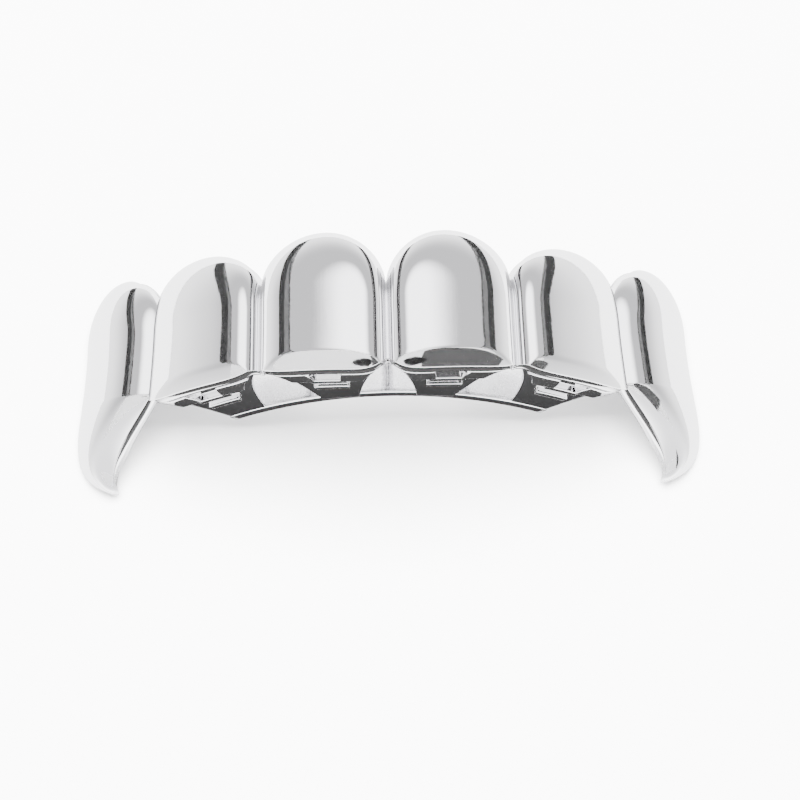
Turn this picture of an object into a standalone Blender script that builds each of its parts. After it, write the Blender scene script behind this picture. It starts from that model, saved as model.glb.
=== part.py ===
"""A row of six mirror-plated metal tooth caps whose two outer caps are long fangs.

The row lies on the rear edges of its fangs, with its faces up. X runs across the row, +Y towards the gum
and +Z up, out of the faces. The whole row is cast and soldered metal, so it is one solid, fang_cap_row.
Sizes are metres.
"""

import math

import bmesh
import bpy
import numpy as np

MM = 0.001

# Driving sizes of the row and its caps
ROW_WIDTH = 48.0 * MM
ARCH_DEPTH = 12.9 * MM
CROWN_LENGTH = 11.0 * MM
FANG_LENGTH = 17.1 * MM
FACE_BULGE = 2.1 * MM
WALL = 0.85 * MM

# How much of the fangs' rear edges is trimmed flat where the row rests
REST_TRIM = 0.6 * MM

# How high the groove between two caps and the biting edge stand over the arch
GROOVE_HEIGHT = 0.42 * MM
EDGE_HEIGHT = 1.2 * MM

# The biting edge of the four middle caps: a ground bevel, and a lip folded back behind it with a notch
BEVEL_LENGTH = 2.0 * MM
BEVEL_ROUNDING = 0.2 * MM
LIP_DEPTH = 1.3 * MM
LIP_SETBACK = 0.12 * MM
NOTCH_WIDTH = 2.7 * MM

# The channel for the wearer's teeth, the tongues that close it at the biting edge, and the rail behind it
CHANNEL_DEPTH = 5.6 * MM
TONGUE_THICKNESS = 0.8 * MM
TONGUE_SETBACK = 0.6 * MM
TONGUE_NARROWING = 0.62
NARROWING_POWER = 0.55
RAIL_THICKNESS = 0.9 * MM
RAIL_HEIGHT = 2.6 * MM
RAIL_SHARE = 0.53
RIB_HEIGHT = 0.35 * MM
RIB_WIDTH = 0.55 * MM
RIB_LENGTH = 3.0 * MM
RIB_DEPTHS = (1.7 * MM, 3.0 * MM)

# Where the tongues meet the rail, as a share of CROWN_LENGTH from the middle of the crown
TONGUE_LEVEL = -0.45

# How far the arch widens with the way below the middle of the crown, how gradually that starts, and how far
# the fang's tip curls back in towards the tongue side
SIDE_FLARE = 0.14
FLARE_ROUNDING = 2.75 * MM
TIP_CURL = 0.8 * MM

# How far each piece runs into the one it is soldered to, and how much less the lip does than the tongue
SOLDER_OVERLAP = 0.3 * MM
LIP_STEP = 0.1 * MM

# Seams between caps, from the midline to the rear edge of the fang. "along" is the share of the half arch.
# "notch" and "junction" are shares of CROWN_LENGTH from the middle of the crown, at the gum and the edge.
SEAM_COLUMNS = ("along", "notch", "junction")
SEAMS = (
    (0.000, 0.145, -0.430),
    (0.291, 0.210, -0.430),
    (0.620, 0.260, -0.360),
    (1.000, 0.400, -0.360),
)

# Caps from the midline out. "gum" and "edge" are the ends of the crown at its middle, as shares of
# CROWN_LENGTH. "bulge" and "bevel" are shares of FACE_BULGE and BEVEL_LENGTH. A higher "power" gives a flatter
# face with tighter shoulders.
CAP_COLUMNS = ("gum", "edge", "bulge", "bevel", "power")
CAPS = (
    (0.535, -0.500, 1.00, 1.00, 2.3),
    (0.525, -0.487, 0.95, 0.85, 2.3),
    (0.620, -0.360, 1.25, 0.00, 2.9),
)

# Where the fang's tip lies along the half arch, and how blunt it is (0 is a point, 1 is a half circle)
TIP_ALONG = 0.86
TIP_BLUNTNESS = 0.30
TAPER_POWER = 1.20
CURL_POWER = 5

# How much of the fang's bulge stands out sideways at the row's widest place
BULGE_SHARE_AT_SIDE = 1.10

# Form of the arch, and the least cosine that keeps its powers finite at the ends
ARCH_POWER = 1.4
LEAST_COSINE = 1e-9

# Form of the domes at the grooves and at the gum
GUM_POWER = 2.2
GROOVE_SHARE = 0.985
GUM_DROP_SHARE = 0.975
GUM_SHARE = 0.42
GUM_LINE_POWER = 0.60

# The fang's wall thins towards its point, and never below the least share. Every wall thins a little where
# a groove meets the gum margin.
THINNING = 1.7
LEAST_WALL_SHARE = 0.15
CORNER_THINNING = 0.75

# The tongue's root and the lip, as shares of the cap's width
TONGUE_ROOT_SHARE = 0.97
LIP_SHARE = 0.80

# Points closer than this are one point
MERGE_DISTANCE = 0.002 * MM

# Grid cells across and along each cap, and how much closer the rows lie near a crown's ends
CELLS_ACROSS = 16
CELLS_ALONG = 14
CELLS_FANG_TIP = 10
ROW_CROWDING = 0.6

METAL_COLOUR = (0.82, 0.82, 0.83, 1.0)
METAL_ROUGHNESS = 0.06


def flare_at(y):
    """How far the arch's end has widened at a height y: nothing on the gum side, then a straight slope."""
    return SIDE_FLARE * (np.hypot(y, FLARE_ROUNDING) - y) / 2


def half_width():
    """The half width of the arch under the domes: the row's half width less what the fang stands out."""
    return ROW_WIDTH / 2 - flare_at(SEAMS[-1][-1] * CROWN_LENGTH) - BULGE_SHARE_AT_SIDE * FACE_BULGE


def arch_frame(along, y):
    """The arch at a share along its half and a height y, and its outward normal: x, z, normal x, normal z.

    It is a superellipse between a parabola (ARCH_POWER 1) and an ellipse (2), which widens towards the
    biting side. Its ends lie just below the rest plane, which trims them flat.
    """
    angle = along * math.pi / 2
    across = half_width()
    depth = ARCH_DEPTH + REST_TRIM
    fall = np.clip(np.cos(angle), LEAST_COSINE, 1)
    x = across * np.sin(angle) + np.sin(angle) ** 2 * flare_at(y)
    z = depth * fall ** (2 / ARCH_POWER) - REST_TRIM
    normal_x = 2 * np.sin(angle) / across
    normal_z = ARCH_POWER * fall ** (2 - 2 / ARCH_POWER) / depth
    length = np.hypot(normal_x, normal_z)
    return x, z, normal_x / length, normal_z / length


def seam(number):
    """One seam as a dictionary, its heights in metres."""
    row = dict(zip(SEAM_COLUMNS, SEAMS[number]))
    return {
        "along": row["along"],
        "notch": row["notch"] * CROWN_LENGTH,
        "junction": row["junction"] * CROWN_LENGTH,
    }


def cap(number):
    """One cap as a dictionary, its lengths in metres."""
    row = dict(zip(CAP_COLUMNS, CAPS[number]))
    return {
        "gum": row["gum"] * CROWN_LENGTH,
        "edge": row["edge"] * CROWN_LENGTH,
        "bulge": row["bulge"] * FACE_BULGE,
        "bevel": row["bevel"] * BEVEL_LENGTH,
        "power": row["power"],
    }


def row_middle():
    """The height y halfway between the fang's gum margin and its tip, which becomes the origin."""
    return cap(len(CAPS) - 1)["gum"] - FANG_LENGTH / 2


def across_profile(number, share):
    """A cap's cross-section: share -1 to 1 gives the side-to-side place and the height of a superellipse."""
    power = cap(number)["power"]
    limit = math.asin(GROOVE_SHARE ** (power / 2))
    angle = share * limit
    side = np.sign(share) * np.abs(np.sin(angle)) ** (2 / power) / GROOVE_SHARE
    lowest = math.cos(limit) ** (2 / power)
    height = (np.cos(angle) ** (2 / power) - lowest) / (1 - lowest)
    return side, height


def along_profile(share):
    """The height along a crown, 0 at the gum and 1 at the edge: a rounded drop over the gum's share."""
    drop = np.clip(1 - share / GUM_SHARE, 0, 1) * GUM_DROP_SHARE
    return (1 - drop ** GUM_POWER) ** (1 / GUM_POWER)


def row_place(down):
    """Where a row of points lies along the crown: closer rows near both ends than in the middle."""
    return down + ROW_CROWDING * (0.5 - 0.5 * np.cos(math.pi * down) - down)


def smooth_least(first, second, radius):
    """The lesser of two heights, rounded off where they cross."""
    mix = np.clip(0.5 + 0.5 * (second - first) / radius, 0, 1)
    return second * (1 - mix) + first * mix - radius * mix * (1 - mix)


def edge_line(number, side):
    """The height y of a cap's biting edge across its width: nearly straight, with rounded corners."""
    shape = cap(number)
    start = seam(number)["junction"]
    end = seam(number + 1)["junction"]
    corner = start + (end - start) * (side + 1) / 2
    return corner + (shape["edge"] - corner) * (1 - np.abs(side) ** 4)


def gum_line(number, side):
    """The height y of a cap's gum margin across its width: an arch between its two notches."""
    shape = cap(number)
    start = seam(number)["notch"]
    end = seam(number + 1)["notch"]
    corner = start + (end - start) * (side + 1) / 2
    return corner + (shape["gum"] - corner) * np.clip(1 - side ** 2, 0, 1) ** GUM_LINE_POWER


def crown_points(number, across, down):
    """Points of a cap's domed face for shares across (-1 to 1) and down (0 gum to 1 edge)."""
    shape = cap(number)
    side, side_height = across_profile(number, across)
    share = row_place(down)
    top = gum_line(number, side)
    bottom = edge_line(number, side)
    y = top + (bottom - top) * share
    height = (GROOVE_HEIGHT + (shape["bulge"] - GROOVE_HEIGHT) * side_height) * along_profile(share)
    if shape["bevel"] > 0:
        slope = (shape["bulge"] - EDGE_HEIGHT) / shape["bevel"]
        bevel = EDGE_HEIGHT + slope * (y - bottom)
        height = smooth_least(height, bevel, BEVEL_ROUNDING)
    start = seam(number)["along"]
    end = seam(number + 1)["along"]
    along = start + (end - start) * (side + 1) / 2
    x, z, normal_x, normal_z = arch_frame(along, y)
    return x + normal_x * height, y, z + normal_z * height


def tip_width(share):
    """The fang's width below the row's edge, as a share of its full width, down to a blunt point."""
    taper = 1 - share ** TAPER_POWER
    round_end = np.sqrt(np.clip(1 - share ** 2, 0, 1))
    return (1 - TIP_BLUNTNESS) * taper + TIP_BLUNTNESS * round_end


def fang_tip_points(across, down):
    """Points of the fang below the row's biting edge, for shares across (-1 to 1) and down (0 to 1 at the tip).

    The width shrinks to a blunt point, the height falls like a quarter circle, and the section sinks
    inwards with a power of the way down.
    """
    number = len(CAPS) - 1
    shape = cap(number)
    side, side_height = across_profile(number, across)
    share = np.sin(down * math.pi / 2)
    start = seam(number)["along"]
    end = seam(number + 1)["along"]
    width_share = tip_width(share)
    rear = end - (end - TIP_ALONG) * share ** 4
    along = rear - (end - start) * width_share * (1 - side) / 2
    top = shape["edge"]
    tip = shape["gum"] - FANG_LENGTH
    y = top + (tip - top) * share
    height = GROOVE_HEIGHT + (shape["bulge"] - GROOVE_HEIGHT) * side_height
    height = height * np.sqrt(1 - share ** 2) - TIP_CURL * share ** CURL_POWER
    x, z, normal_x, normal_z = arch_frame(along, y)
    return x + normal_x * height, y, z + normal_z * height


def tongue_width(share):
    """A tongue's width at a share of its depth, as a share of its root's width."""
    return 1 - TONGUE_NARROWING * share ** NARROWING_POWER


def tongue_points(number, side, depth, setback):
    """Points behind a middle cap's biting edge, for a side share (-1 to 1) and a depth behind the arch.

    The tongue narrows with its depth, and runs from the biting edge to the rail's own level.
    """
    start = seam(number)["along"]
    end = seam(number + 1)["along"]
    share = np.clip(depth / (CHANNEL_DEPTH + RAIL_THICKNESS), 0, 1)
    side = side * tongue_width(share)
    along = (start + end) / 2 + (end - start) / 2 * side
    level = edge_line(number, side) + setback
    level = level + (TONGUE_LEVEL * CROWN_LENGTH - level) * share ** 2
    x, z, normal_x, normal_z = arch_frame(along, level)
    return x - normal_x * depth, level, z - normal_z * depth


def cap_width(number):
    """The straight distance between a cap's two seams at the middle of the crown."""
    start_x, start_z, _, _ = arch_frame(seam(number)["along"], 0.0)
    end_x, end_z, _, _ = arch_frame(seam(number + 1)["along"], 0.0)
    return math.hypot(end_x - start_x, end_z - start_z)


def add_grid(shape, columns, rows, place):
    """Adds an open grid to a bmesh, its points moved by a formula of two shares.

    across runs from -1 at the midline's side to 1, and down from 0 at the gum to 1. Returns the new
    vertices with their two shares.
    """
    made = bmesh.ops.create_grid(shape, x_segments=columns, y_segments=rows, size=1.0)["verts"]
    flat = np.array([vertex.co for vertex in made])
    across = flat[:, 0]
    down = (1 - flat[:, 1]) / 2
    points = np.column_stack(place(across, down)) - (0.0, row_middle(), 0.0)
    for vertex, point in zip(made, points):
        vertex.co = point
    return made, across, down


def new_collection(name):
    collection = bpy.data.collections.new(name)
    bpy.context.scene.collection.children.link(collection)
    return collection


def new_object(name, shape, collection):
    """A mesh object made from a bmesh, which is freed."""
    mesh = bpy.data.meshes.new(name)
    shape.to_mesh(mesh)
    shape.free()
    made = bpy.data.objects.new(name, mesh)
    collection.objects.link(made)
    return made


def add_mirror(target):
    mirror = target.modifiers.new("Mirror", "MIRROR")
    mirror.merge_threshold = MERGE_DISTANCE


def add_wall(target, thickness, offset):
    wall = target.modifiers.new("Solidify", "SOLIDIFY")
    wall.thickness = thickness
    wall.offset = offset
    return wall


def add_boolean(target, operation, collection):
    boolean = target.modifiers.new(operation.title(), "BOOLEAN")
    boolean.operation = operation
    boolean.solver = "EXACT"
    boolean.operand_type = "COLLECTION"
    boolean.collection = collection


def labial_shell(collection):
    """The domed faces of all six caps: one open sheet over half the row, mirrored, with the wall inside."""
    shape = bmesh.new()
    weight = shape.verts.layers.deform.verify()
    for number in range(len(CAPS)):
        made, across, down = add_grid(
            shape, CELLS_ACROSS, CELLS_ALONG, lambda across, down: crown_points(number, across, down)
        )
        corner = np.abs(across) ** 6 * ((1 - down) ** 4 + down ** 8)
        for vertex, share in zip(made, corner):
            vertex[weight][0] = float(1 - CORNER_THINNING * share)
    made, across, down = add_grid(shape, CELLS_ACROSS, CELLS_FANG_TIP, fang_tip_points)
    for vertex, share in zip(made, tip_width(np.sin(down * math.pi / 2))):
        vertex[weight][0] = float(np.clip(THINNING * share, LEAST_WALL_SHARE, 1))
    bmesh.ops.remove_doubles(shape, verts=shape.verts, dist=MERGE_DISTANCE)
    shell = new_object("fang_cap_row", shape, collection)
    shell.vertex_groups.new(name="wall")
    add_mirror(shell)
    wall = add_wall(shell, WALL, -1)
    wall.vertex_group = "wall"
    wall.thickness_vertex_group = 0.0
    return shell


def plate(name, columns, rows, thickness, place, collection):
    """A mirrored plate: a grid moved by a formula, thickened on the gum side of its face."""
    shape = bmesh.new()
    add_grid(shape, columns, rows, place)
    made = new_object(name, shape, collection)
    made.hide_render = True
    made.display_type = "WIRE"
    add_mirror(made)
    add_wall(made, thickness, -1)
    return made


def tongue(number, collection):
    """The plate that closes one cap's channel at the biting edge, from the shell's wall to the rail."""
    reach = CHANNEL_DEPTH + RAIL_THICKNESS - SOLDER_OVERLAP / 2

    def place(across, down):
        depth = -SOLDER_OVERLAP + (reach + SOLDER_OVERLAP) * down
        return tongue_points(number, across * TONGUE_ROOT_SHARE, depth, TONGUE_SETBACK)

    return plate(f"tongue_{number}", 8, 8, TONGUE_THICKNESS, place, collection)


def lip(number, hand, collection):
    """Half of the folded lip behind a biting edge, on one side of its notch."""
    notch = NOTCH_WIDTH / cap_width(number)

    def place(across, down):
        side = hand * (notch + (LIP_SHARE - notch) * (across + 1) / 2)
        depth = LIP_STEP - SOLDER_OVERLAP + (LIP_DEPTH + SOLDER_OVERLAP - LIP_STEP) * down
        return tongue_points(number, side, depth, LIP_SETBACK)

    thickness = TONGUE_SETBACK - LIP_SETBACK + SOLDER_OVERLAP
    return plate(f"lip_{number}_{hand}", 6, 2, hand * thickness, place, collection)


def rib(number, order, collection):
    """One short bar across the outer face of a tongue."""
    share = RIB_LENGTH / cap_width(number)

    def place(across, down):
        depth = RIB_DEPTHS[order] + RIB_WIDTH * (down - 0.5)
        width = tongue_width(RIB_DEPTHS[order] / (CHANNEL_DEPTH + RAIL_THICKNESS))
        return tongue_points(number, across * share / width, depth, TONGUE_SETBACK - RIB_HEIGHT)

    return plate(f"rib_{number}_{order}", 2, 2, RIB_HEIGHT + SOLDER_OVERLAP, place, collection)


def back_rail(collection):
    """The band behind the teeth, a constant depth behind the arch."""
    low = TONGUE_LEVEL * CROWN_LENGTH

    def place(across, down):
        y = low + RAIL_HEIGHT * (1 - down)
        x, z, normal_x, normal_z = arch_frame(RAIL_SHARE * (across + 1) / 2, y)
        return x - normal_x * CHANNEL_DEPTH, y, z - normal_z * CHANNEL_DEPTH

    return plate("back_rail", 18, 3, RAIL_THICKNESS, place, collection)


def table_cutter(collection):
    """A box below the surface that the row lies on, which trims the fangs' rear edges flat."""
    shape = bmesh.new()
    bmesh.ops.create_cube(shape, size=1.0)
    for vertex in shape.verts:
        vertex.co.x *= 2 * ROW_WIDTH
        vertex.co.y *= 4 * FANG_LENGTH
        vertex.co.z = (vertex.co.z - 0.5) * ARCH_DEPTH
    cutter = new_object("rest_plane_cutter", shape, collection)
    cutter.hide_render = True
    cutter.display_type = "WIRE"
    return cutter


def metal():
    """The mirror-bright plating."""
    material = bpy.data.materials.new("mirror_plating")
    material.use_nodes = True
    shader = material.node_tree.nodes["Principled BSDF"]
    shader.inputs["Base Color"].default_value = METAL_COLOUR
    shader.inputs["Metallic"].default_value = 1.0
    shader.inputs["Roughness"].default_value = METAL_ROUGHNESS
    return material


def main():
    for old in list(bpy.data.objects):
        bpy.data.objects.remove(old, do_unlink=True)
    row = new_collection("vampire fang tooth caps")
    soldered = new_collection("soldered pieces")
    cutters = new_collection("cutters")

    shell = labial_shell(row)
    back_rail(soldered)
    for number in (0, 1):
        tongue(number, soldered)
        for hand in (-1, 1):
            lip(number, hand, soldered)
        for order in range(len(RIB_DEPTHS)):
            rib(number, order, soldered)
    table_cutter(cutters)
    add_boolean(shell, "UNION", soldered)
    add_boolean(shell, "DIFFERENCE", cutters)
    shell.data.materials.append(metal())
    shell.data.shade_smooth()


main()
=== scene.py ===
"""The look of the mirror-plated fang tooth cap row, lying on a pale surface under soft studio light.

The metal piece is built again here with dense smooth surfaces around the same arch, seams and caps as the
frame's solid, in the row frame: X across, +Y towards the gum margin, +Z up. Lengths are metres.
"""

import math
from functools import partial

import bpy
import numpy as np
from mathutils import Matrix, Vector

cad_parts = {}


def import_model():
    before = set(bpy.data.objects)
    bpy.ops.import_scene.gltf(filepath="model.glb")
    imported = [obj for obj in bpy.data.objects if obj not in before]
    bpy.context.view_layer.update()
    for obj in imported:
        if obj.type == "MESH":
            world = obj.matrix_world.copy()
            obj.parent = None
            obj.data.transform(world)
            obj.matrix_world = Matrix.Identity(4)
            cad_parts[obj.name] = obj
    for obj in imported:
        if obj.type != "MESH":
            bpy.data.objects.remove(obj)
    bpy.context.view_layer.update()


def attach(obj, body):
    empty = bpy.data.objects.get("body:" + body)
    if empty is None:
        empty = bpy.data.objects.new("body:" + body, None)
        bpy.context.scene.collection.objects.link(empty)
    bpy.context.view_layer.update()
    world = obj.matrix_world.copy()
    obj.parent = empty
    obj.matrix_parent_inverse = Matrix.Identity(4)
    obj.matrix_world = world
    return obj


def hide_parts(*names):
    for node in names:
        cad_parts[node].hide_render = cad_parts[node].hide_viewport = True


MM = 0.001

# Driving sizes of the row and its caps, the same as the solid's, down to the seams
ROW_WIDTH = 48.0 * MM
ARCH_DEPTH = 12.9 * MM
CROWN_LENGTH = 11.0 * MM
FANG_LENGTH = 17.1 * MM
FACE_BULGE = 2.1 * MM
WALL = 0.85 * MM

# How much of the fangs' rear edges is trimmed flat, and how high the groove between two caps stands
REST_TRIM = 0.6 * MM
GROOVE_HEIGHT = 0.42 * MM

# The lip folded back behind the biting edge, and its notch
LIP_DEPTH = 1.3 * MM
LIP_SETBACK = 0.12 * MM
LIP_STEP = 0.1 * MM
LIP_SHARE = 0.80
NOTCH_WIDTH = 2.7 * MM

# The channel for the wearer's teeth, the tongues that close it at the biting edge, and the rail behind it
CHANNEL_DEPTH = 5.6 * MM
TONGUE_THICKNESS = 0.8 * MM
TONGUE_SETBACK = 0.6 * MM
TONGUE_NARROWING = 0.62
NARROWING_POWER = 0.55
TONGUE_LEVEL = -0.45
TONGUE_ROOT_SHARE = 0.97
RAIL_THICKNESS = 0.9 * MM
RAIL_HEIGHT = 2.6 * MM
RAIL_SHARE = 0.53
RIB_HEIGHT = 0.35 * MM
RIB_WIDTH = 0.55 * MM
RIB_LENGTH = 3.0 * MM
RIB_DEPTHS = (1.7 * MM, 3.0 * MM)
SOLDER_OVERLAP = 0.3 * MM

# Form of the arch, how it widens below the middle of the crown, and the least cosine that its powers take
ARCH_POWER = 1.4
SIDE_FLARE = 0.14
FLARE_ROUNDING = 2.75 * MM
BULGE_SHARE_AT_SIDE = 1.10
LEAST_COSINE = 1e-9

# Form of the fang below the row's edge: where its tip lies along the half arch, and how it tapers and curls
TIP_ALONG = 0.86
TIP_BLUNTNESS = 0.30
TAPER_POWER = 1.20
REAR_POWER = 4
TIP_CURL = 0.8 * MM
CURL_POWER = 5

# Form of the domes at the grooves and at the gum
GROOVE_SHARE = 0.985
GUM_POWER = 2.2
GUM_DROP_SHARE = 0.975
GUM_SHARE = 0.42
GUM_LINE_POWER = 0.60

# Seams between caps, from the midline to the rear edge of the fang. "along" is the share of the half arch.
# "notch" and "junction" are shares of CROWN_LENGTH from the middle of the crown, at the gum and the edge.
SEAM_COLUMNS = ("along", "notch", "junction")
SEAMS = (
    (0.000, 0.145, -0.430),
    (0.291, 0.210, -0.430),
    (0.620, 0.260, -0.360),
    (1.000, 0.400, -0.360),
)

# Caps from the midline out. "gum" and "edge" are the ends of the crown at its middle, as shares of
# CROWN_LENGTH. "bulge" and "bevel" are shares of FACE_BULGE and BEVEL_LENGTH. A higher power gives a flatter
# face with tighter shoulders, on the midline's side and on the other. "skew" moves the crest towards the
# rear, or where it is negative towards the midline. The gums and bulges are the solid's. The faces are
# flatter here, for the studio that they mirror.
CAP_COLUMNS = ("gum", "edge", "bulge", "bevel", "inner_power", "outer_power", "skew")
CAPS = (
    (0.535, -0.520, 1.00, 1.00, 4.6, 3.2, 0.00),
    (0.525, -0.487, 0.95, 0.85, 4.6, 3.2, -0.20),
    (0.620, -0.360, 1.25, 0.00, 4.0, 3.2, 0.38),
)

# The biting edge is finer than the solid's: a little higher, with a shorter bevel that has a low swell and
# meets the face crisply, squarer corners, and on the central caps a slant down towards the midline
EDGE_HEIGHT = 1.5 * MM
BEVEL_LENGTH = 1.35 * MM
BEVEL_ROUNDING = 0.09 * MM
BEVEL_SWELL = 0.15
EDGE_SLANT = 0.40 * MM
EDGE_POWER = 6

# The wall's open edge swells by a rounding, and the wall thins where the fang is narrow, down to a share
RIM_ROUNDING = 0.10 * MM
TIP_WALL_SHARE = 0.35
TIP_WALL_GAIN = 1.7

# How much of the way to TONGUE_LEVEL the tongues' rear ends go, and how round the back pieces' edges are
LEVEL_SHARE = 0.85
TONGUE_ROUNDING = 0.12 * MM
LIP_ROUNDING = 0.10 * MM
RAIL_ROUNDING = 0.18 * MM

# Grid cells of the shell: across and along each cap, and along a fang's tip, which ends just before its pole
CELLS_ACROSS = 56
CELLS_ALONG = 72
CELLS_TIP = 40
TIP_END = 0.985

# How columns crowd towards the grooves and rows towards a crown's ends, the steps in which a trimmed row
# looks for its end, and where the rim's rows lie between the wall's outer side and its inner side
SPACING_POWER = 2.6
ROW_CROWDING = 0.6
TRIM_STEPS = 400
RIM_SHARES = (0.10, 0.30, 0.50, 0.70, 0.90)

# Cells of the back pieces: across them, along a section's straight sides and round its corners, and the sizes
# of the rings that close an end
TONGUE_CELLS = 24
SHORT_CELLS = 12
RAIL_CELLS = 60
SIDE_CELLS = 10
CORNER_STEPS = 4
END_SHARES = (0.66, 0.33, 0.02)

# The factors that mirror a point in the midline, and the least divisor
MIRROR = np.array([-1.0, 1.0, 1.0])
TINY = 1e-12

# The plating's colour, the low and high values of its speckle, its roughness at each, and how much rougher
# the wall's inner side is
METAL_COLOUR = (0.86, 0.857, 0.872)
SPECKLE_RANGE = (0.35, 0.75)
ROUGHNESS_RANGE = (0.022, 0.080)
INNER_ROUGHNESS = 0.22

# Unevenness of the polish, from the deepest layer up. The scratches' noise is stretched along one direction.
BUMP_COLUMNS = ("name", "scale", "detail", "strength", "distance")
BUMPS = (
    ("waves", 210.0, 1.0, 0.35, 0.06 * MM),
    ("speckle", 2600.0, 3.0, 0.16, 0.008 * MM),
    ("scratches", 1.0, 2.0, 0.12, 0.006 * MM),
)
SCRATCH_SCALE = (5200.0, 260.0, 900.0)
SCRATCH_TURN = (0.0, 0.0, 0.5)

# The camera: its angle above the table, its turn round the row, its distance and where it points
CAMERA_ELEVATION = 68.0
CAMERA_AZIMUTH = -1.4
CAMERA_DISTANCE = 250.0 * MM
PIXELS_PER_MM = 12.7
IMAGE_WIDTH = 800
SENSOR_WIDTH = 36.0
CLIP_RANGE = (0.01, 20.0)
AIM_RIGHT = 1.02 * MM
AIM_DOWN = 2.44 * MM

# The white table
TABLE_SIZE = 3.0
TABLE_GAP = 0.02 * MM
TABLE_GREY = 0.93
TABLE_ROUGHNESS = 0.6

# The soft light, behind and above the row, which reflections don't show
LIGHT_WATTS = 104.0
LIGHT_SIZE = 0.8
LIGHT_DISTANCE = 0.9
LIGHT_DIRECTION = (180.0, 75.0)

# The surround: its brightness, its colour low down and overhead, and the heights at which it has them
SURROUND_STRENGTH = 3.2
SURROUND_LOW = (0.90, 0.90, 0.90)
SURROUND_HIGH = (0.34, 0.34, 0.345)
SURROUND_HEIGHTS = (0.05, 0.62)

# Two soft glows, one behind and above the row and one on the camera's side. A glow begins at the first of its
# two cosines from its direction and is full at the second, where it makes the surround brighter by its gain.
GLOW_COLUMNS = ("azimuth", "elevation", "begins", "full", "gain")
GLOWS = (
    (180.0, 70.0, 0.905, 0.985, 4.6),
    (0.0, 25.0, 0.250, 0.850, 2.3),
)

# All that follows is there for the metal to mirror, and hidden from the camera. First dark flags, which give
# the caps their bands. Each is a strip between two directions, seen from the row, and has a mirror image.
FLAG_COLUMNS = ("azimuth", "elevation", "end_azimuth", "end_elevation", "distance", "width", "grey")
FLAGS = (
    (107.0, 40.0, 162.0, -2.0, 0.40, 0.046, 0.004),
    (102.0, 47.5, 157.0, 4.0, 0.42, 0.060, 0.040),
    (98.0, 54.5, 153.0, 9.0, 0.41, 0.008, 0.006),
)

# Boards that hang in a direction and face the row: a dark oval and a wide grey front behind it, which the
# central bevels mirror, and a dark shade to the right of them
HUNG_COLUMNS = ("name", "azimuth", "elevation", "distance", "width", "height", "grey", "oval")
HUNG_BOARDS = (
    ("lens", 2.0, 63.5, 0.262, 0.130, 0.026, 0.0, True),
    ("camera_body", CAMERA_AZIMUTH, CAMERA_ELEVATION, 0.30, 0.60, 0.26, 0.30, False),
    ("shade", 50.0, 56.0, 0.30, 0.16, 0.20, 0.015, False),
)
OVAL_POINTS = 32

# Boards that lie just above the table: a grey one over most of it, so that the metal mirrors a greyer table
# than the camera sees, and a dark one between the fangs. "forward" is towards the camera.
LAID_COLUMNS = ("name", "width", "length", "forward", "lift", "grey")
LAID_BOARDS = (
    ("rim_board", 2.4, 2.4, 0.0, 0.0002, 0.42),
    ("low_board", 0.034, 0.044, 0.026, 0.0004, 0.011),
)


def seam(number):
    """One seam as a dictionary, its heights in metres."""
    row = dict(zip(SEAM_COLUMNS, SEAMS[number]))
    return {
        "along": row["along"],
        "notch": row["notch"] * CROWN_LENGTH,
        "junction": row["junction"] * CROWN_LENGTH,
    }


def cap(number):
    """One cap as a dictionary, its lengths in metres."""
    row = dict(zip(CAP_COLUMNS, CAPS[number]))
    return {
        "gum": row["gum"] * CROWN_LENGTH,
        "edge": row["edge"] * CROWN_LENGTH,
        "bulge": row["bulge"] * FACE_BULGE,
        "bevel": row["bevel"] * BEVEL_LENGTH,
        "inner_power": row["inner_power"],
        "outer_power": row["outer_power"],
        "skew": row["skew"],
    }


def between_seams(number, column, side):
    """A value of the seams that runs straight across a cap, from its first seam (side -1) to the next (1)."""
    start = seam(number)[column]
    end = seam(number + 1)[column]
    return start + (end - start) * (side + 1) / 2


def row_middle():
    """The height halfway between the fang's gum margin and its tip, which is the row frame's zero."""
    return cap(len(CAPS) - 1)["gum"] - FANG_LENGTH / 2


def flare_at(y):
    """How far the arch's end has widened at a height y: nothing on the gum side, then a straight slope."""
    return SIDE_FLARE * (np.hypot(y, FLARE_ROUNDING) - y) / 2


def half_width():
    """The half width of the arch under the domes: the row's half width less what the fang stands out."""
    return ROW_WIDTH / 2 - flare_at(SEAMS[-1][-1] * CROWN_LENGTH) - BULGE_SHARE_AT_SIDE * FACE_BULGE


def arch_frame(along, y):
    """The arch and its outward normal: x is a half width times a sine, z a depth times a cosine's power.

    The fang's end widens towards the biting side, with the square of the sine.
    """
    angle = along * math.pi / 2
    across = half_width()
    depth = ARCH_DEPTH + REST_TRIM
    fall = np.clip(np.cos(angle), LEAST_COSINE, 1)
    x = across * np.sin(angle) + np.sin(angle) ** 2 * flare_at(y)
    z = depth * fall ** (2 / ARCH_POWER) - REST_TRIM
    normal_x = 2 * np.sin(angle) / across
    normal_z = ARCH_POWER * fall ** (2 - 2 / ARCH_POWER) / depth
    length = np.hypot(normal_x, normal_z)
    return x, z, normal_x / length, normal_z / length


def across_profile(number, share):
    """A cap's cross-section: share -1 to 1 gives the side-to-side place and the height of a superellipse.

    Its power differs on the midline's side and the other side, and its crest lies off the middle by a share.
    """
    shape = cap(number)
    limit = math.asin(GROOVE_SHARE ** (SPACING_POWER / 2))
    side = np.sign(share) * np.abs(np.sin(share * limit)) ** (2 / SPACING_POWER) / GROOVE_SHARE
    skewed = np.clip(side - shape["skew"] * (1 - side ** 2), -1, 1)
    power = np.where(skewed < 0, shape["inner_power"], shape["outer_power"])
    lowest = (1 - GROOVE_SHARE ** power) ** (1 / power)
    reach = (1 - np.abs(GROOVE_SHARE * skewed) ** power) ** (1 / power)
    return side, (reach - lowest) / (1 - lowest)


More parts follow.
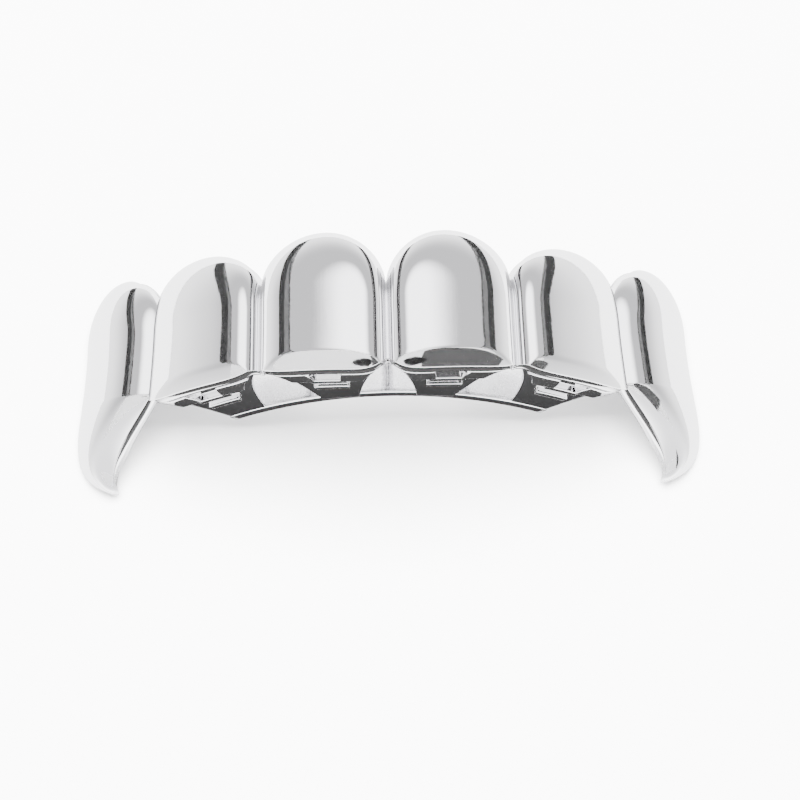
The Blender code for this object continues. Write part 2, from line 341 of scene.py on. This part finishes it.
def along_profile(share):
    """The height along a crown, 0 at the gum and 1 at the edge: a rounded drop over the gum's share."""
    drop = np.clip(1 - share / GUM_SHARE, 0, 1) * GUM_DROP_SHARE
    return (1 - drop ** GUM_POWER) ** (1 / GUM_POWER)


def row_place(down):
    """Where a row of points lies along the crown: closer rows near both ends than in the middle."""
    return down + ROW_CROWDING * (0.5 - 0.5 * np.cos(math.pi * down) - down)


def smooth_least(first, second, radius):
    """The lesser of two heights, rounded off where they cross."""
    mix = np.clip(0.5 + 0.5 * (second - first) / radius, 0, 1)
    return second * (1 - mix) + first * mix - radius * mix * (1 - mix)


def edge_line(number, side):
    """The height y of a cap's biting edge: level or slanted over most of its width, then a power's fall."""
    corner = between_seams(number, "junction", side)
    slant = EDGE_SLANT * side if number == 0 else 0
    return corner + (cap(number)["edge"] + slant - corner) * (1 - np.abs(side) ** EDGE_POWER)


def gum_line(number, side):
    """The height y of a cap's gum margin across its width: an arch between its two notches."""
    corner = between_seams(number, "notch", side)
    return corner + (cap(number)["gum"] - corner) * np.clip(1 - side ** 2, 0, 1) ** GUM_LINE_POWER


def sheet_points(along, y, height):
    """Points at a height out of the arch, and the direction into it at each, as two arrays."""
    x, z, normal_x, normal_z = arch_frame(along, y)
    outer = np.stack([x + normal_x * height, y, z + normal_z * height], axis=-1)
    inward = np.stack([-normal_x, np.zeros_like(y), -normal_z], axis=-1)
    return outer, inward


def crown_points(number, across, down):
    """A cap's domed face: a superellipse across, times a rounded drop at the gum.

    Near a bevelled edge its height is at most a slope that rises from the edge with a low swell.
    """
    shape = cap(number)
    side, side_height = across_profile(number, across)
    top = gum_line(number, side)
    bottom = edge_line(number, side)
    share = row_place(down)
    y = top + (bottom - top) * share
    height = (GROOVE_HEIGHT + (shape["bulge"] - GROOVE_HEIGHT) * side_height) * along_profile(share)
    if shape["bevel"] > 0:
        rise = (y - bottom) / shape["bevel"]
        swell = BEVEL_SWELL * np.clip(rise, 0, 1) * (1 - np.clip(rise, 0, 1))
        slope = EDGE_HEIGHT + (shape["bulge"] - EDGE_HEIGHT) * (rise + swell)
        height = smooth_least(height, slope, BEVEL_ROUNDING)
    return sheet_points(between_seams(number, "along", side), y, height)


def tip_width(share):
    """The fang's width below the row's edge, as a share of its full width, down to a blunt point."""
    return (1 - TIP_BLUNTNESS) * (1 - share ** TAPER_POWER) + TIP_BLUNTNESS * np.sqrt(1 - share ** 2)


def tip_points(across, down):
    """The fang below the biting edge: its width tapers, its height falls like a quarter circle and curls in.

    The direction into the wall shrinks with the width, so that the wall thins towards the point.
    """
    number = len(CAPS) - 1
    shape = cap(number)
    side, side_height = across_profile(number, across)
    share = np.sin(down * math.pi / 2)
    start = seam(number)["along"]
    end = seam(number + 1)["along"]
    rear = end - (end - TIP_ALONG) * share ** REAR_POWER
    along = rear - (end - start) * tip_width(share) * (1 - side) / 2
    y = shape["edge"] + (shape["gum"] - FANG_LENGTH - shape["edge"]) * share
    height = GROOVE_HEIGHT + (shape["bulge"] - GROOVE_HEIGHT) * side_height
    height = height * np.sqrt(1 - share ** 2) - TIP_CURL * share ** CURL_POWER
    outer, inward = sheet_points(along, y, height)
    thin = np.clip(TIP_WALL_GAIN * tip_width(share), TIP_WALL_SHARE, 1)
    return outer, inward * thin[..., None]


def trimmed_sheet(place, down):
    """A sheet on a grid, from a function of a share across and a share down.

    Each row runs across from -1 to 1, or to where it would pass below z 0. That end is found on finer steps,
    by a straight line between the last one above and the first one below.
    """
    fine = np.linspace(-1, 1, TRIM_STEPS + 1)
    height = place(*np.meshgrid(fine, down))[0][..., 2]
    below = height < 0
    after = np.maximum(below.argmax(axis=1), 1)
    rows = np.arange(len(down))
    above = height[rows, after - 1]
    fall = np.maximum(above - height[rows, after], TINY)
    end = np.where(below.any(axis=1), fine[after - 1] + (fine[1] - fine[0]) * above / fall, 1.0)
    across, down = np.meshgrid(np.linspace(-1, 1, CELLS_ACROSS + 1), down)
    return place((across + 1) * (end[:, None] + 1) / 2 - 1, down)


def mirrored(points):
    """The same grid on the other side of the midline, its columns in reverse order."""
    return points[:, ::-1] * MIRROR


def grid_faces(index):
    """Quads of a grid of vertex numbers, as an array with four columns."""
    return np.stack([index[:-1, :-1], index[1:, :-1], index[1:, 1:], index[:-1, 1:]], axis=-1).reshape(-1, 4)


def ring_faces(rings):
    """Quads between closed rings of vertex numbers, one ring a row."""
    return grid_faces(np.concatenate([rings, rings[:, :1]], axis=1))


def shell_layers():
    """Outer points and inward directions of the whole shell: the six crowns, then the right and left tips."""
    down = np.linspace(0, 1, CELLS_ALONG + 1)
    caps = [trimmed_sheet(partial(crown_points, number), down) for number in range(len(CAPS))]
    tips = trimmed_sheet(tip_points, np.linspace(0, TIP_END, CELLS_TIP + 1))
    layers = []
    for crowns, tip in zip(zip(*caps), tips):
        half = np.concatenate([crowns[0]] + [crown[:, 1:] for crown in crowns[1:]], axis=1)
        whole = np.concatenate([mirrored(half)[:, :-1], half], axis=1)
        parts = (whole, tip[1:], mirrored(tip)[1:])
        layers.append(np.concatenate([part.reshape(-1, 3) for part in parts]))
    return layers


def shell_grids():
    """Grids of the shell's vertex numbers: the crowns, and both tips from the crowns' last row down."""
    rows = CELLS_ALONG + 1
    columns = 2 * len(CAPS) * CELLS_ACROSS + 1
    width = CELLS_ACROSS + 1
    crowns = np.arange(rows * columns).reshape(rows, columns)
    right = crowns.size + np.arange(CELLS_TIP * width).reshape(CELLS_TIP, width)
    left = right + right.size
    right = np.concatenate([crowns[-1:, -width:], right])
    left = np.concatenate([crowns[-1:, :width], left])
    return crowns, right, left


def open_edge(crowns, right, left):
    """Vertex numbers round the shell: the gum margin, the right fang, the biting edge and the left fang."""
    width = CELLS_ACROSS + 1
    around_tip = [(tip[1:, -1], tip[-1, -2::-1], tip[-2:0:-1, 0]) for tip in (right, left)]
    biting_edge = crowns[-1, -width:width - 2:-1]
    return np.concatenate([
        crowns[0], crowns[1:, -1], *around_tip[0], biting_edge, *around_tip[1], crowns[:0:-1, 0],
    ])


def rim_rows(outer, inner, inward, loop):
    """Rows of points round the wall's open edge, straight across the wall and swollen by a sine's root."""
    following = np.roll(outer[loop], -1, axis=0) - np.roll(outer[loop], 1, axis=0)
    outward = np.cross(inward[loop], following)
    outward = outward / np.maximum(np.linalg.norm(outward, axis=1, keepdims=True), TINY)
    rows = []
    for share in RIM_SHARES:
        swell = RIM_ROUNDING * math.sqrt(math.sin(math.pi * share))
        rows.append(outer[loop] * (1 - share) + inner[loop] * share + outward * swell)
    return np.concatenate(rows)


def shell_surface():
    """The six caps as one closed wall: the domed sheet, the same sheet one wall deeper, and a rounded rim.

    Returns the points, the quads and a number for each point that is 1 on the inner side.
    """
    outer, inward = shell_layers()
    inner = outer + inward * WALL
    grids = shell_grids()
    loop = open_edge(*grids)
    rim = rim_rows(outer, inner, inward, loop)
    count = len(outer)
    rim_rings = 2 * count + np.arange(len(rim)).reshape(len(RIM_SHARES), len(loop))
    rings = np.concatenate([[loop], rim_rings, [loop + count]])
    sheet = np.concatenate([grid_faces(grid) for grid in grids])
    faces = np.concatenate([sheet, sheet[:, ::-1] + count, ring_faces(rings)[:, ::-1]])
    inside = np.concatenate([np.zeros(count), np.ones(count), np.zeros(len(rim))])
    points = np.concatenate([outer, inner, rim]) - (0.0, row_middle(), 0.0)
    points[:, 2] = np.maximum(points[:, 2], 0.0)
    return points, faces, inside


def rounded_section(half_depth, half_height, radius):
    """A closed loop in the depth and height plane: a rectangle with quarter circles for corners."""
    turn = np.linspace(0, math.pi / 2, CORNER_STEPS + 1)
    corners = []
    for number, (depth_sign, height_sign) in enumerate(((1, 1), (-1, 1), (-1, -1), (1, -1))):
        angle = turn + number * math.pi / 2
        depth = depth_sign * (half_depth - radius) + radius * np.cos(angle)
        height = height_sign * (half_height - radius) + radius * np.sin(angle)
        corners.append(np.column_stack([depth, height]))
    share = np.arange(SIDE_CELLS)[:, None] / SIDE_CELLS
    loop = []
    for corner, following in zip(corners, corners[1:] + corners[:1]):
        loop.append(corner[:-1])
        loop.append(corner[-1] + (following[0] - corner[-1]) * share)
    return np.concatenate(loop)


def rounded_slab(half_size, radius, cells):
    """A closed slab with rounded edges, as flat coordinates (across, depth, height) and faces.

    At both ends the sections' places across follow a sine, while they draw in by a cosine towards the
    rectangle of their corners' centres. The ends are closed by rings that shrink to the middle.
    """
    half_across, half_depth, half_height = half_size
    turn = np.linspace(0, math.pi / 2, CORNER_STEPS + 1)
    end_across = half_across - radius + radius * np.sin(turn)
    middle_across = np.linspace(-end_across[0], end_across[0], cells + 1)[1:-1]
    across = np.concatenate([-end_across[::-1], middle_across, end_across])
    drawn = np.concatenate([np.cos(turn)[::-1], np.ones(cells - 1), np.cos(turn)])[:, None, None]

    section = rounded_section(half_depth, half_height, radius)
    limit = np.array([half_depth - radius, half_height - radius])
    core = np.clip(section, -limit, limit)
    sections = core + (section - core) * drawn
    places = np.broadcast_to(across[:, None, None], (len(across), len(section), 1))
    loops = np.concatenate([places, sections], axis=-1)
    shrink = np.array([(1, share, share) for share in END_SHARES])[:, None, :]
    loops = np.concatenate([(loops[0] * shrink)[::-1], loops, loops[-1] * shrink])

    rings = np.arange(len(loops) * len(section)).reshape(len(loops), len(section))
    faces = np.concatenate([ring_faces(rings), end_faces(rings)])
    return loops.reshape(-1, 3), faces[:, ::-1]


def end_faces(rings):
    """Quads that close the first and last ring, joining points across the ring in pairs."""
    count = rings.shape[1]
    step = np.arange(count // 2 - 1)
    across = np.stack([step, step + 1, count - 2 - step, count - 1 - step], axis=-1)
    return np.concatenate([rings[0][across], rings[-1][across][:, ::-1]])


def cap_width(number):
    """The straight distance between a cap's two seams at the middle of the crown."""
    start_x, start_z, _, _ = arch_frame(seam(number)["along"], 0.0)
    end_x, end_z, _, _ = arch_frame(seam(number + 1)["along"], 0.0)
    return math.hypot(end_x - start_x, end_z - start_z)


def tongue_width(share):
    """A tongue's width at a share of its depth, as a share of its root's width: one less a power's growth."""
    return 1 - TONGUE_NARROWING * share ** NARROWING_POWER


def tongue_place(number, side, depth, rise):
    """Points behind a biting edge, for a side share, a depth behind the arch and a rise towards the gum.

    They narrow with the depth, and near the rail's level with its square.
    """
    share = np.clip(depth / (CHANNEL_DEPTH + RAIL_THICKNESS), 0, 1)
    side = side * tongue_width(share)
    level = edge_line(number, side) + rise
    level = level + (TONGUE_LEVEL * CROWN_LENGTH - level) * share ** 2 * LEVEL_SHARE
    x, z, normal_x, normal_z = arch_frame(between_seams(number, "along", side), level)
    return np.column_stack([x - normal_x * depth, level - row_middle(), z - normal_z * depth])


def tongue_slab(number, sides, depths, rises, radius, cells=SHORT_CELLS):
    """A rounded slab bent to the arch behind one cap, between two sides, two depths and two rises."""
    half = cap_width(number) / 2
    low, high = np.column_stack([np.array(sides) * half, depths, rises])
    flat, faces = rounded_slab((high - low) / 2, radius, cells)
    flat = flat + (low + high) / 2
    return tongue_place(number, flat[:, 0] / half, flat[:, 1], flat[:, 2]), faces


def tongue(number):
    """The plate that closes one cap's channel at the biting edge, from the shell's wall to the rail."""
    sides = (-TONGUE_ROOT_SHARE, TONGUE_ROOT_SHARE)
    depths = (-SOLDER_OVERLAP, CHANNEL_DEPTH + RAIL_THICKNESS / 2)
    rises = (TONGUE_SETBACK, TONGUE_SETBACK + TONGUE_THICKNESS)
    return tongue_slab(number, sides, depths, rises, TONGUE_ROUNDING, TONGUE_CELLS)


def lip(number, hand):
    """Half of the folded lip behind a biting edge, on one side of its notch."""
    notch = NOTCH_WIDTH / cap_width(number)
    sides = sorted((hand * notch, hand * LIP_SHARE))
    depths = (LIP_STEP - SOLDER_OVERLAP, LIP_DEPTH)
    rises = (LIP_SETBACK, TONGUE_SETBACK + SOLDER_OVERLAP)
    return tongue_slab(number, sides, depths, rises, LIP_ROUNDING)


def rib(number, depth):
    """One short bar across the outer face of a tongue."""
    width = tongue_width(depth / (CHANNEL_DEPTH + RAIL_THICKNESS))
    side = RIB_LENGTH / cap_width(number) / width
    depths = (depth - RIB_WIDTH / 2, depth + RIB_WIDTH / 2)
    rises = (TONGUE_SETBACK - RIB_HEIGHT, TONGUE_SETBACK + SOLDER_OVERLAP)
    return tongue_slab(number, (-side, side), depths, rises, LIP_ROUNDING)


def rail():
    """The rounded band behind the teeth, at a constant depth behind the arch."""
    half_size = (RAIL_SHARE * half_width(), RAIL_THICKNESS / 2, RAIL_HEIGHT / 2)
    flat, faces = rounded_slab(half_size, RAIL_ROUNDING, RAIL_CELLS)
    along = flat[:, 0] / half_width()
    depth = CHANNEL_DEPTH + RAIL_THICKNESS / 2 + flat[:, 1]
    y = TONGUE_LEVEL * CROWN_LENGTH + RAIL_HEIGHT / 2 + flat[:, 2]
    x, z, normal_x, normal_z = arch_frame(np.abs(along), y)
    across = np.sign(along) * (x - normal_x * depth)
    return np.column_stack([across, y - row_middle(), z - normal_z * depth]), faces


def mirror_piece(piece):
    """A closed surface on the other side of the midline, its faces turned round."""
    points, faces = piece
    return points * MIRROR, faces[:, ::-1]


def join(pieces):
    """Several closed surfaces as one array of points and one of faces."""
    counts = np.cumsum([0] + [len(points) for points, _ in pieces])
    points = np.concatenate([points for points, _ in pieces])
    faces = np.concatenate([faces + count for (_, faces), count in zip(pieces, counts)])
    return points, faces


def back_surfaces():
    """The tongues, lips and ribs behind the four middle caps, and the rail that joins them."""
    made = []
    for number in (0, 1):
        made.append(tongue(number))
        made += [lip(number, hand) for hand in (-1, 1)]
        made += [rib(number, depth) for depth in RIB_DEPTHS]
    return join(made + [mirror_piece(piece) for piece in made] + [rail()])


def add_piece(name, points, faces, inside=0.0):
    """A smooth-shaded mesh of quads at the origin, put in as whole arrays.

    Its attribute "inside" has one number for all points or one for each, which is 1 on the wall's inner side.
    """
    mesh = bpy.data.meshes.new(name)
    corners = faces.shape[1]
    mesh.vertices.add(len(points))
    mesh.vertices.foreach_set("co", points.ravel())
    mesh.loops.add(faces.size)
    mesh.loops.foreach_set("vertex_index", faces.ravel().astype(np.int32))
    mesh.polygons.add(len(faces))
    mesh.polygons.foreach_set("loop_start", np.arange(0, faces.size, corners, dtype=np.int32))
    mesh.update(calc_edges=True)
    mesh.validate()
    mesh.shade_smooth()
    layer = mesh.attributes.new("inside", "FLOAT", "POINT")
    layer.data.foreach_set("value", np.zeros(len(points)) + inside)
    piece = bpy.data.objects.new(name, mesh)
    bpy.context.scene.collection.objects.link(piece)
    return piece


def node(tree, kind, place, **values):
    """A shader node with its inputs set by name."""
    made = tree.nodes.new(kind)
    made.location = place
    for name, value in values.items():
        made.inputs[name.replace("_", " ")].default_value = value
    return made


def uneven_polish(tree, shader):
    """The plating's bump: slow waves, then a fine speckle, then stretched scratches. Returns their noises."""
    place = node(tree, "ShaderNodeTexCoord", (-1400, 0))
    stretch = node(tree, "ShaderNodeMapping", (-1200, -300), Scale=SCRATCH_SCALE, Rotation=SCRATCH_TURN)
    tree.links.new(place.outputs["Object"], stretch.inputs["Vector"])
    noises = {}
    smooth = None
    for number, values in enumerate(BUMPS):
        row = dict(zip(BUMP_COLUMNS, values))
        low = 300 - 300 * number
        noise = node(tree, "ShaderNodeTexNoise", (-1000, low), Scale=row["scale"], Detail=row["detail"])
        bump = node(tree, "ShaderNodeBump", (200 * number - 400, low),
                    Strength=row["strength"], Distance=row["distance"])
        source = stretch.outputs["Vector"] if row["name"] == "scratches" else place.outputs["Object"]
        tree.links.new(source, noise.inputs["Vector"])
        tree.links.new(noise.outputs["Fac"], bump.inputs["Height"])
        if smooth:
            tree.links.new(smooth.outputs["Normal"], bump.inputs["Normal"])
        noises[row["name"]] = noise
        smooth = bump
    tree.links.new(smooth.outputs["Normal"], shader.inputs["Normal"])
    return noises


def roughness(tree, shader, speckle):
    """The plating's roughness: a narrow range over its speckle, and more on the wall's inner side."""
    inner = node(tree, "ShaderNodeAttribute", (-1000, -600))
    inner.attribute_name = "inside"
    polish = node(tree, "ShaderNodeMapRange", (-700, 0), From_Min=SPECKLE_RANGE[0], From_Max=SPECKLE_RANGE[1],
                  To_Min=ROUGHNESS_RANGE[0], To_Max=ROUGHNESS_RANGE[1])
    rough = node(tree, "ShaderNodeMath", (-400, -200))
    rough.operation = "MULTIPLY_ADD"
    rough.inputs[1].default_value = INNER_ROUGHNESS
    tree.links.new(speckle.outputs["Fac"], polish.inputs["Value"])
    tree.links.new(inner.outputs["Fac"], rough.inputs[0])
    tree.links.new(polish.outputs["Result"], rough.inputs[2])
    tree.links.new(rough.outputs["Value"], shader.inputs["Roughness"])


def plating():
    """Mirror plating: nearly smooth metal with an uneven polish."""
    material = bpy.data.materials.new("mirror_plating")
    material.use_nodes = True
    tree = material.node_tree
    shader = tree.nodes["Principled BSDF"]
    shader.inputs["Metallic"].default_value = 1.0
    shader.inputs["Base Color"].default_value = (*METAL_COLOUR, 1)
    noises = uneven_polish(tree, shader)
    roughness(tree, shader, noises["speckle"])
    return material


def plain(name, grey, rough=1.0):
    """A plain grey material."""
    material = bpy.data.materials.new(name)
    material.use_nodes = True
    shader = material.node_tree.nodes["Principled BSDF"]
    shader.inputs["Base Color"].default_value = (grey, grey, grey, 1)
    shader.inputs["Roughness"].default_value = rough
    return material


def direction(azimuth, elevation):
    """A unit direction: azimuth 0 is the camera's side, 90 the right, and elevation is above the table."""
    a, e = math.radians(azimuth), math.radians(elevation)
    return Vector((math.sin(a) * math.cos(e), -math.cos(a) * math.cos(e), math.sin(e)))


def add_board(name, outline, material, place=(0, 0, 0), turn=(1, 0, 0, 0), seen=False):
    """A flat board of the studio, from its corners. Unless it is seen, only reflections show it."""
    mesh = bpy.data.meshes.new(name)
    mesh.from_pydata(outline, [], [range(len(outline))])
    mesh.materials.append(material)
    board = bpy.data.objects.new(name, mesh)
    board.location = place
    board.rotation_mode = "QUATERNION"
    board.rotation_quaternion = turn
    board.visible_camera = seen
    board.visible_diffuse = seen
    board.visible_shadow = seen
    bpy.context.scene.collection.objects.link(board)


def rectangle(width, height):
    """The corners of a flat rectangle round the origin."""
    return np.array([(-1, -1, 0), (1, -1, 0), (1, 1, 0), (-1, 1, 0)]) * (width / 2, height / 2, 0)


def oval(width, height):
    """The points of a flat oval round the origin: a cosine and a sine."""
    angle = np.arange(OVAL_POINTS) * 2 * math.pi / OVAL_POINTS
    return np.column_stack([np.cos(angle), np.sin(angle), angle * 0]) * (width / 2, height / 2, 0)


def strip_flag(name, flag, hand):
    """A dark strip that spans two directions at a distance, on the left (-1) or the right (1)."""
    start = direction(hand * flag["azimuth"], flag["elevation"]) * flag["distance"]
    end = direction(hand * flag["end_azimuth"], flag["end_elevation"]) * flag["distance"]
    across = (end - start).cross((start + end) / 2).normalized() * flag["width"] / 2
    outline = [start - across, start + across, end + across, end - across]
    add_board(name, outline, plain(name, flag["grey"]))


def boards_to_mirror():
    """What the metal mirrors: the flags on both sides, the boards that hang and the boards that lie."""
    for number, values in enumerate(FLAGS):
        for hand in (-1, 1):
            strip_flag(f"flag_{number}_{hand}", dict(zip(FLAG_COLUMNS, values)), hand)
    for values in HUNG_BOARDS:
        row = dict(zip(HUNG_COLUMNS, values))
        towards = direction(row["azimuth"], row["elevation"])
        turn = (-towards).to_track_quat("Z", "Y")
        outline = (oval if row["oval"] else rectangle)(row["width"], row["height"])
        add_board(row["name"], outline, plain(row["name"], row["grey"]), towards * row["distance"], turn)
    for values in LAID_BOARDS:
        row = dict(zip(LAID_COLUMNS, values))
        outline = rectangle(row["width"], row["length"])
        add_board(row["name"], outline, plain(row["name"], row["grey"]), (0, -row["forward"], row["lift"]))


def glow_gain(tree, place, glow, low):
    """How much a glow brightens each direction, as a node: a smooth step of the cosine from its middle."""
    cosine = node(tree, "ShaderNodeVectorMath", (-900, low))
    cosine.operation = "DOT_PRODUCT"
    cosine.inputs[1].default_value = direction(glow["azimuth"], glow["elevation"])
    gain = node(tree, "ShaderNodeMapRange", (-600, low), From_Min=glow["begins"], From_Max=glow["full"],
                To_Min=1.0, To_Max=glow["gain"])
    gain.interpolation_type = "SMOOTHSTEP"
    tree.links.new(place.outputs["Generated"], cosine.inputs[0])
    tree.links.new(cosine.outputs["Value"], gain.inputs["Value"])
    return gain


def surround():
    """A pale surround that darkens with its height, times the gain of each glow."""
    world = bpy.data.worlds.new("white_surround")
    bpy.context.scene.world = world
    world.use_nodes = True
    tree = world.node_tree
    back = tree.nodes["Background"]
    back.inputs["Strength"].default_value = SURROUND_STRENGTH
    place = node(tree, "ShaderNodeTexCoord", (-1100, 0))
    split = node(tree, "ShaderNodeSeparateXYZ", (-900, 0))
    ramp = node(tree, "ShaderNodeValToRGB", (-600, 0))
    ramp.color_ramp.interpolation = "EASE"
    for end, height, colour in zip(ramp.color_ramp.elements, SURROUND_HEIGHTS, (SURROUND_LOW, SURROUND_HIGH)):
        end.position = height
        end.color = (*colour, 1)
    tree.links.new(place.outputs["Generated"], split.inputs["Vector"])
    tree.links.new(split.outputs["Z"], ramp.inputs["Fac"])
    colour = ramp.outputs["Color"]
    for number, values in enumerate(GLOWS):
        low = -300 - 300 * number
        gain = glow_gain(tree, place, dict(zip(GLOW_COLUMNS, values)), low)
        product = node(tree, "ShaderNodeVectorMath", (-300, low))
        product.operation = "SCALE"
        tree.links.new(colour, product.inputs[0])
        tree.links.new(gain.outputs["Result"], product.inputs["Scale"])
        colour = product.outputs["Vector"]
    tree.links.new(colour, back.inputs["Color"])


def soft_light():
    """A square soft light that faces the row. Reflections don't show it."""
    light = bpy.data.lights.new("overhead_softbox", "AREA")
    light.shape = "RECTANGLE"
    light.size = LIGHT_SIZE
    light.size_y = LIGHT_SIZE
    light.energy = LIGHT_WATTS
    towards = direction(*LIGHT_DIRECTION)
    lamp = bpy.data.objects.new("overhead_softbox", light)
    lamp.visible_glossy = False
    lamp.location = towards * LIGHT_DISTANCE
    lamp.rotation_mode = "QUATERNION"
    lamp.rotation_quaternion = (-towards).to_track_quat("-Z", "Y")
    bpy.context.scene.collection.objects.link(lamp)


def studio():
    """A white table in a pale surround, what the metal mirrors, and a soft light."""
    surround()
    white = plain("white_board", TABLE_GREY, TABLE_ROUGHNESS)
    add_board("table", rectangle(TABLE_SIZE, TABLE_SIZE), white, (0, 0, -TABLE_GAP), seen=True)
    boards_to_mirror()
    soft_light()


def camera():
    """A camera above the biting side, with the photograph's angle and scale."""
    back = direction(CAMERA_AZIMUTH, CAMERA_ELEVATION)
    turn = (-back).to_track_quat("-Z", "Y")
    right = turn @ Vector((1, 0, 0))
    up = turn @ Vector((0, 1, 0))
    aim = Vector((0, -row_middle(), 0)) + right * AIM_RIGHT - up * AIM_DOWN
    data = bpy.data.cameras.new("camera")
    data.sensor_width = SENSOR_WIDTH
    data.lens = PIXELS_PER_MM / MM * CAMERA_DISTANCE * SENSOR_WIDTH / IMAGE_WIDTH
    data.clip_start, data.clip_end = CLIP_RANGE
    made = bpy.data.objects.new("camera", data)
    made.location = aim + back * CAMERA_DISTANCE
    made.rotation_mode = "QUATERNION"
    made.rotation_quaternion = turn
    bpy.context.scene.collection.objects.link(made)
    bpy.context.scene.camera = made


def main():
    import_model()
    metal = plating()

    shell = add_piece("cap_shell", *shell_surface())
    back = add_piece("tongues_and_rail", *back_surfaces())
    for piece in (shell, back):
        piece.data.materials.append(metal)
        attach(piece, "root")
    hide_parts("fang_cap_row")

    studio()
    camera()


main()
